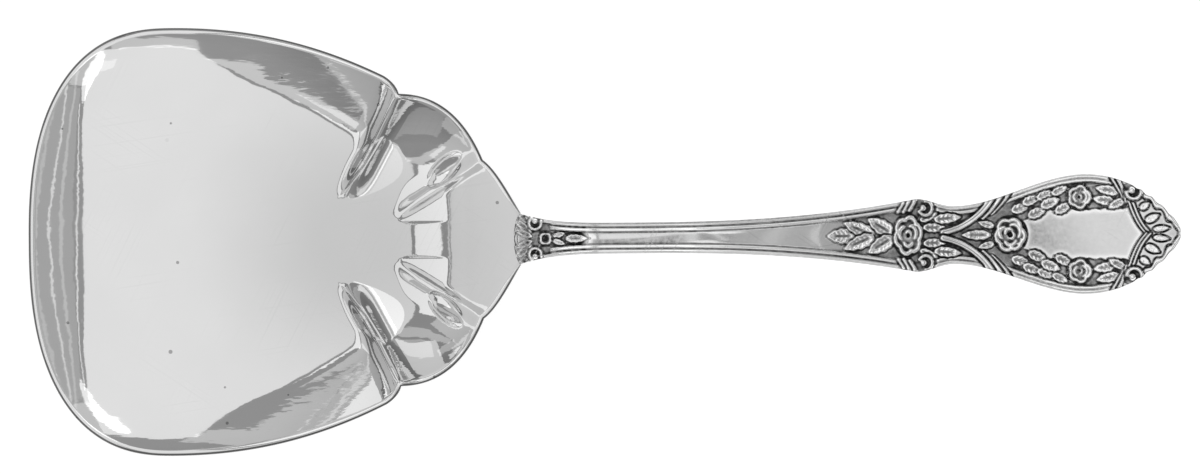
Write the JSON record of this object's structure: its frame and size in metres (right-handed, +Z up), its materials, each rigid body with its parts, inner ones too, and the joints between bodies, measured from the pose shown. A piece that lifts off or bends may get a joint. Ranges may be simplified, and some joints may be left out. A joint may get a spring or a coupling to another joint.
{
  "type": "sugar spoon",
  "caption": "Silver sugar spoon: a wide shovel bowl with a fluted heel, lap-soldered to a struck handle with thread borders, roses, leaves, scrolls and a shell tip.",
  "frame": {"origin": "half way along the spoon, on its centre line, on the surface that it lies on", "axes": "+X from the bowl's front edge towards the handle's tip, +Y across the spoon, +Z up out of the bowl"},
  "size_m": [0.152, 0.0564, 0.0128],
  "materials": {
    "bowl_silver": "polished silver with fine hairline scratches",
    "handle_silver": "polished silver with dark oxidised recesses",
    "silver_solder": "silver solder"
  },
  "bodies": {
    "root": {"bowl": "bowl_silver", "handle": "handle_silver", "solder_seam": "silver_solder"}
  },
  "joints": []
}
